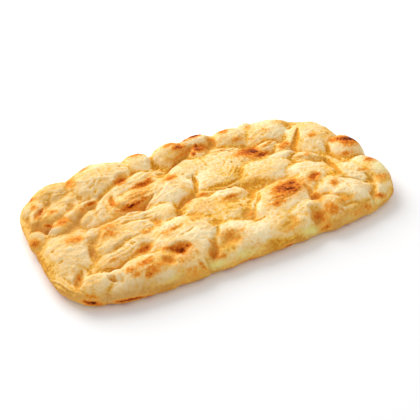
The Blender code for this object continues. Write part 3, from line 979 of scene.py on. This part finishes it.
places = read_places(bread_mesh)
low = places.min(0)
size = np.array(highest) - np.array(lowest)
places = np.array(lowest) + (places - low) * size / (places.max(0) - low)
bread_mesh.vertices.foreach_set("co", places.ravel())
bread_mesh.shade_smooth()
bread_mesh.update()
bread = bpy.data.objects.new("naan_bread", bread_mesh)
bpy.context.scene.collection.objects.link(bread)
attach(bread, "root")
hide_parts("naan")
print("bread measures", [round(float(value) / MM, 2) for value in size], "mm")

# %% [markdown]
# ## How each point is baked
#
# The colour of bread follows its shape: crowns dry out and pale or scorch, creases hold steam and
# turn golden. The creases, the steep sides and the low side are also made darker golden as painted
# shade. So the mesh carries a few numbers at each point, and the material reads them. The hollows
# are found by smoothing the points over their neighbours and seeing how far they rise. A few
# rounds of smoothing find the wrinkles, and many rounds find the broad hollows.

# %% Measure crowns and hollows
edge_ends = np.empty(len(bread_mesh.edges) * 2, dtype=np.int32)
bread_mesh.edges.foreach_get("vertices", edge_ends)
edge_ends = edge_ends.reshape(-1, 2)
neighbours = np.bincount(edge_ends.ravel(), minlength=len(places))
normals = read_normals(bread_mesh)


def smoothed(values, rounds):
    """The values averaged with those of the neighbouring points, again and again."""
    for _ in range(rounds):
        there = np.bincount(edge_ends[:, 0], values[edge_ends[:, 1]], len(values))
        back = np.bincount(edge_ends[:, 1], values[edge_ends[:, 0]], len(values))
        values = 0.5 * values + 0.5 * (there + back) / neighbours
    return values


def sunkenness(rounds, depth):
    """How far each point lies below its surroundings, as a share of the given depth."""
    moved = np.column_stack([smoothed(places[:, axis], rounds) for axis in range(3)]) - places
    return (moved * normals).sum(1) / depth


crinkle = sunkenness(2, 0.08 * MM)
close_hollow = sunkenness(8, 0.25 * MM)
broad_hollow = sunkenness(90, 1.4 * MM)
print("hollow levels", np.percentile(broad_hollow, [5, 50, 95]).round(2))

# %% See where the marks and the patches lie
BLOTCH_SCALE = 9 * MM
BLOTCHY = (8.1, 3.3, 6.6)
LEOPARD_SCALE = 6 * MM
LEOPARD = (2.2, 6.9, 4.4)

east, north = sight(places)
shake = shaken(places)
toward_eye = np.array(camera_place) - places
toward_eye /= np.linalg.norm(toward_eye, axis=1, keepdims=True)
facing = (toward_eye * normals).sum(1)
seen = np.clip((facing + 0.15) / 0.3, 0, 1) * np.clip(places[:, 2] / MM - 0.5, 0, 1)
bottom = np.clip(-normals[:, 2] * 2 - 0.6, 0, 1)
steep = np.clip(0.75 - normals[:, 2], 0, 1) * (1 - bottom)
crown = np.clip(-broad_hollow, 0, 1)
blotch = cloud(places, BLOTCH_SCALE, BLOTCHY)
leopard = cloud(places, LEOPARD_SCALE, LEOPARD)
print("share of the points that the camera sees", round(float(seen.mean()), 2))

# %% Work out how far each point is baked
FLOOR_TOUCH = 3.6 * MM  # height up to which the oven floor browned the side
SCORCH_HALO = 0.5  # how strong the halo of a scorch is
HIDDEN_MOST = 0.75  # the most that a side out of the camera's sight is baked
TANNED_MOST = 0.24  # how far the light browning between the scorches goes
TANNED_SCALE = 13 * MM
TANNED = (7.7, 0.9, 2.8)

hidden = np.clip(0.22 + 0.45 * blotch + 0.25 * shake, 0, HIDDEN_MOST)
baked = seen * marks(east, north, BAKED, shake, SCORCH_HALO) + (1 - seen) * hidden
low_side = np.clip(1 - places[:, 2] / FLOOR_TOUCH, 0, 1)
floor_baked = low_side * (0.34 + 0.7 * np.clip(leopard + 0.3 * shake, -0.4, 1))
tanned = TANNED_MOST * np.clip(cloud(places, TANNED_SCALE, TANNED) + 0.25, 0, 1) * (0.4 + crown)
baked = np.maximum(np.maximum(baked, floor_baked), tanned) * (1 - bottom)

# %% Work out the golden, tan and greenish levels, the golden and the tan partly painted shade
DOUGH_START = 0.37  # golden level of plain level dough
BLOTCH_GOLD = 0.17  # what each cause adds to that level at most
BROAD_GOLD_AND_SHADE = 0.68
CREASE_GOLD_AND_SHADE = 0.35
WRINKLE_GOLD_AND_SHADE = 0.16
LOW_GOLD_AND_SHADE = 0.80
STEEP_GOLD_AND_SHADE = 0.70
CROWN_PALE = 0.06  # what each cause takes off it at most
MARK_PALE_AND_HIGHLIGHT = 0.66
LOW_HEIGHT = 14 * MM  # height under which the side turns golden and darker, partly painted shade
GOLD_HALO = 0.3
SOFT_HALO = 0.2
UNDER_GOLD = 0.55  # golden level of the underside
LEVEL_SHADE_AND_TAN = 0.45  # share of the painted shade and tan that shows where the dough lies level

golden_and_shade = DOUGH_START + seen * marks(east, north, GOLDEN_AND_SHADE, shake, GOLD_HALO)
# hollows, creases and wrinkles turn golden and darker: partly golden dough, partly painted shade
golden_and_shade += BLOTCH_GOLD * blotch + BROAD_GOLD_AND_SHADE * np.clip(broad_hollow, 0, 1.2)
golden_and_shade += CREASE_GOLD_AND_SHADE * np.clip(close_hollow, -0.2, 1) + WRINKLE_GOLD_AND_SHADE * np.clip(crinkle, -1, 1.5)
# the low side and the steep sides, out of the key light, turn darker golden: partly painted shade
golden_and_shade += LOW_GOLD_AND_SHADE * np.clip(1 - places[:, 2] / LOW_HEIGHT, 0, 1) + STEEP_GOLD_AND_SHADE * steep
golden_and_shade -= CROWN_PALE * crown * (1 - steep)
# pale places lighten the dough: partly pale dough, partly painted highlight
golden_and_shade -= MARK_PALE_AND_HIGHLIGHT * seen * marks(east, north, PALE_AND_HIGHLIT, shake, SOFT_HALO)
golden_and_shade = golden_and_shade * (1 - bottom) + UNDER_GOLD * bottom
# painted shade: the tan is strongest on steep sides, which lie out of the key light
sloping = np.clip(2.2 * steep, 0, 1)
shade_and_tan = seen * marks(east, north, SHADE_AND_TAN, shake, SOFT_HALO) * (LEVEL_SHADE_AND_TAN + (1 - LEVEL_SHADE_AND_TAN) * sloping)
greenish = seen * marks(east, north, GREENISH, shake, SOFT_HALO)

# %% Write the levels to the mesh
levels = {
    "baked": baked,
    "golden_and_shade": golden_and_shade,
    "shade_and_tan": shade_and_tan,
    "greenish": greenish,
    "underside": bottom,
}
for name, values in levels.items():
    held = np.clip(values, 0, 1)
    attribute = bread_mesh.attributes.new(name, "FLOAT", "POINT")
    attribute.data.foreach_set("value", held.astype(np.float32))
    print(name, "mean level", round(float(held.mean()), 3))

# %% [markdown]
# ## The baked skin
#
# The material starts from cream dough with a slight change from patch to patch, and lays golden,
# pale, tan, greenish and baked colours over it. The golden is partly painted shade in creases and
# on the sides, the pale is partly painted highlight, and the tan is mostly painted shade. Painting
# a texture by hand would need an image, so the finest mottling and freckles come from noise on the
# bread's own coordinates instead.

# %% Helpers that add nodes to the skin
skin = bpy.data.materials.new("baked_dough_skin")
skin.use_nodes = True
tree = skin.node_tree
shader = tree.nodes["Principled BSDF"]


def colour(red, green, blue):
    """A colour from its screen values of 0 to 255, as the material needs it."""
    screen = np.array([red, green, blue]) / 255
    linear = np.where(screen > 0.04045, ((screen + 0.055) / 1.055) ** 2.4, screen / 12.92)
    return (*linear, 1)


def feed(socket, value):
    """Gives a socket a plain value or the output of another node."""
    if isinstance(value, bpy.types.NodeSocket):
        tree.links.new(value, socket)
    else:
        socket.default_value = value


def add(kind, settings=None, **sockets):
    """Adds a node of the given kind, with its settings and what its sockets are fed."""
    made = tree.nodes.new(kind)
    for name, value in (settings or {}).items():
        setattr(made, name, value)
    for name, value in sockets.items():
        feed(made.inputs[name.replace("_", " ")], value)
    return made


def sum_up(operation, first, second, third=0.0):
    """A sum, product or the like of two or three numbers or outputs."""
    made = add("ShaderNodeMath", {"operation": operation})
    for socket, value in zip(made.inputs, (first, second, third)):
        feed(socket, value)
    return made.outputs[0]


def blend_colours(share, under, over):
    """One colour laid over another by a share from 0 to 1."""
    made = add("ShaderNodeMix", {"data_type": "RGBA"})
    # a Mix node has sockets for numbers and vectors too, and those for colours are 0, 6, 7 and 2
    for place, value in ((0, share), (6, under), (7, over)):
        feed(made.inputs[place], value)
    return made.outputs[2]


def level(name):
    """One of the levels that the mesh carries at its points."""
    return add("ShaderNodeAttribute", {"attribute_name": name}).outputs["Fac"]


print("empty skin:", skin.name, "with the shader", shader.name)

# %% Helpers for mottled patterns
MOTTLE_ROUGHNESS = 0.55
coordinates = add("ShaderNodeTexCoord").outputs["Object"]


def mottle(per_metre, detail):
    """Noise from 0 to 1 on the bread's own coordinates."""
    return add(
        "ShaderNodeTexNoise",
        Vector=coordinates,
        Scale=per_metre,
        Detail=detail,
        Roughness=MOTTLE_ROUGHNESS,
    ).outputs["Fac"]


def stretched(value, low, high):
    """Spreads the range from low to high out to 0 and 1."""
    made = add("ShaderNodeMapRange", {"clamp": True}, Value=value)
    made.inputs["From Min"].default_value = low
    made.inputs["From Max"].default_value = high
    return made.outputs["Result"]


def wavering(layers):
    """Several mottles added up, each with its own weight, so that the sum wavers about 0."""
    total = -sum(weight for _, weight in layers) / 2
    for layer, weight in layers:
        total = sum_up("MULTIPLY_ADD", layer, weight, total)
    return total


# %% Colours of the soft dough
def graded(value, stops):
    """Colours that change from stop to stop with the value."""
    made = add("ShaderNodeValToRGB", Fac=value)
    elements = made.color_ramp.elements
    while len(elements) < len(stops):
        elements.new(0.5)
    for element, (position, screen) in zip(elements, stops):
        element.position = position
        element.color = colour(*screen)
    return made.outputs["Color"]


# the darker golden end also stands for painted shade in creases and on the sides
DOUGH_COLOURS = (
    (0.00, (247, 225, 178)),
    (0.14, (244, 217, 162)),
    (0.32, (242, 207, 146)),
    (0.55, (241, 195, 112)),
    (0.80, (237, 180, 64)),
    (1.00, (208, 136, 30)),
)
GREENISH_CREAM = colour(236, 224, 138)
# painted shade: a darker tan for the sides and the left end that lie out of the light
PAINTED_SHADE_TAN = colour(206, 160, 96)
SHADE_AND_TAN_COVER = 0.85  # how far the painted shade and tan hides the dough under it

patches = mottle(75, 2.0)
spots = mottle(230, 3.0)
freckles = mottle(520, 3.0)
grain = mottle(1300, 2.0)
toasting = wavering(((patches, 0.36), (spots, 0.40), (freckles, 0.80), (grain, 0.60)))
toasting = sum_up("MULTIPLY", toasting, sum_up("MULTIPLY_ADD", level("golden_and_shade"), 0.75, 0.60))
# painted shade: the golden and shade level darkens the dough in creases and on the sides
dough = graded(sum_up("ADD", level("golden_and_shade"), toasting), DOUGH_COLOURS)
# painted shade: the shade and tan level darkens the dough
dough = blend_colours(sum_up("MULTIPLY", level("shade_and_tan"), SHADE_AND_TAN_COVER), dough, PAINTED_SHADE_TAN)
dough = blend_colours(level("greenish"), dough, GREENISH_CREAM)

# %% Browning over the skin
CRUST_COLOURS = (
    (0.00, (242, 198, 116)),
    (0.22, (238, 178, 82)),
    (0.42, (228, 146, 46)),
    (0.60, (211, 112, 26)),
    (0.78, (166, 72, 14)),
    (1.00, (86, 32, 6)),
)
CRUST_FROM = 0.05  # baked level at which the crust begins to show
CRUST_FULL = 0.36  # and at which it hides the dough

# the stone leaves leopard spots on the underside, finer than its few rings of points could carry
stone_spots = stretched(mottle(110, 3.0), 0.47, 0.70)
stone_baked = sum_up("MULTIPLY_ADD", stone_spots, 0.72, 0.14)
all_baked = sum_up("MULTIPLY_ADD", level("underside"), stone_baked, level("baked"))
browning = wavering(((freckles, 1.3), (spots, 0.5), (grain, 0.5)))
browning = sum_up("MULTIPLY", browning, sum_up("ADD", all_baked, 0.16))
browned = sum_up("ADD", all_baked, browning)
crust_share = stretched(browned, CRUST_FROM, CRUST_FULL)
crust = blend_colours(crust_share, dough, graded(browned, CRUST_COLOURS))
tree.links.new(crust, shader.inputs["Base Color"])
print("skin has", len(tree.nodes), "nodes")

# %% [markdown]
# ### Sheen, softness and tiny bumps
#
# Bread is matt, with a faint shine where the skin is tight. Light enters the pale dough a little,
# which softens its shadows. A very fine bump gives the flour-dusted grain that is too small for
# the mesh.

# %% Roughness, softness and bump
roughness = sum_up("MULTIPLY_ADD", freckles, 0.22, 0.50)
tree.links.new(roughness, shader.inputs["Roughness"])
shader.inputs["Specular IOR Level"].default_value = 0.06
shader.inputs["Subsurface Weight"].default_value = 0.10
shader.inputs["Subsurface Radius"].default_value = (1.0, 0.5, 0.22)
shader.inputs["Subsurface Scale"].default_value = 2.5 * MM
bump_height = sum_up("ADD", sum_up("MULTIPLY", freckles, 0.65), sum_up("MULTIPLY", grain, 0.35))
bump = add("ShaderNodeBump", Strength=1.0, Distance=1.1 * MM, Height=bump_height)
tree.links.new(bump.outputs["Normal"], shader.inputs["Normal"])
bread_mesh.materials.append(skin)

# %% [markdown]
# ## Floor and light
#
# The bread stands on plain white, with one large soft light behind it to the left and light from
# all around, so that only its front edge throws a soft grey shadow.

# %% Floor
FLOOR_REACH = 2  # metres from the middle to each side
FLOOR_WHITE = 0.93

floor_bm = bmesh.new()
bmesh.ops.create_grid(floor_bm, x_segments=1, y_segments=1, size=FLOOR_REACH)
floor_mesh = bpy.data.meshes.new("floor")
floor_bm.to_mesh(floor_mesh)
floor_bm.free()
floor = bpy.data.objects.new("floor", floor_mesh)
bpy.context.scene.collection.objects.link(floor)
floor_paint = bpy.data.materials.new("floor_paint")
floor_paint.use_nodes = True
floor_shader = floor_paint.node_tree.nodes["Principled BSDF"]
floor_shader.inputs["Base Color"].default_value = (FLOOR_WHITE, FLOOR_WHITE, FLOOR_WHITE, 1)
floor_shader.inputs["Roughness"].default_value = 0.9
floor_shader.inputs["Specular IOR Level"].default_value = 0.0
floor_mesh.materials.append(floor_paint)
print("floor laid")

# %% Light
KEY_PLACE = Vector((-0.12, 0.62, 0.46))
KEY_POWER = 7.2
KEY_SIZE = 0.75
SKY = 0.73

key_data = bpy.data.lights.new("key", "AREA")
key_data.energy = KEY_POWER
key_data.size = KEY_SIZE
key = bpy.data.objects.new("key", key_data)
key.matrix_world = (
    Matrix.Translation(KEY_PLACE) @ (-KEY_PLACE).to_track_quat("-Z", "Y").to_matrix().to_4x4()
)
bpy.context.scene.collection.objects.link(key)
world = bpy.data.worlds.new("studio")
world.use_nodes = True
world.node_tree.nodes["Background"].inputs["Color"].default_value = (1, 1, 1, 1)
world.node_tree.nodes["Background"].inputs["Strength"].default_value = SKY
bpy.context.scene.world = world
bpy.context.scene.view_settings.view_transform = "Standard"
print("key light of", KEY_POWER, "W")
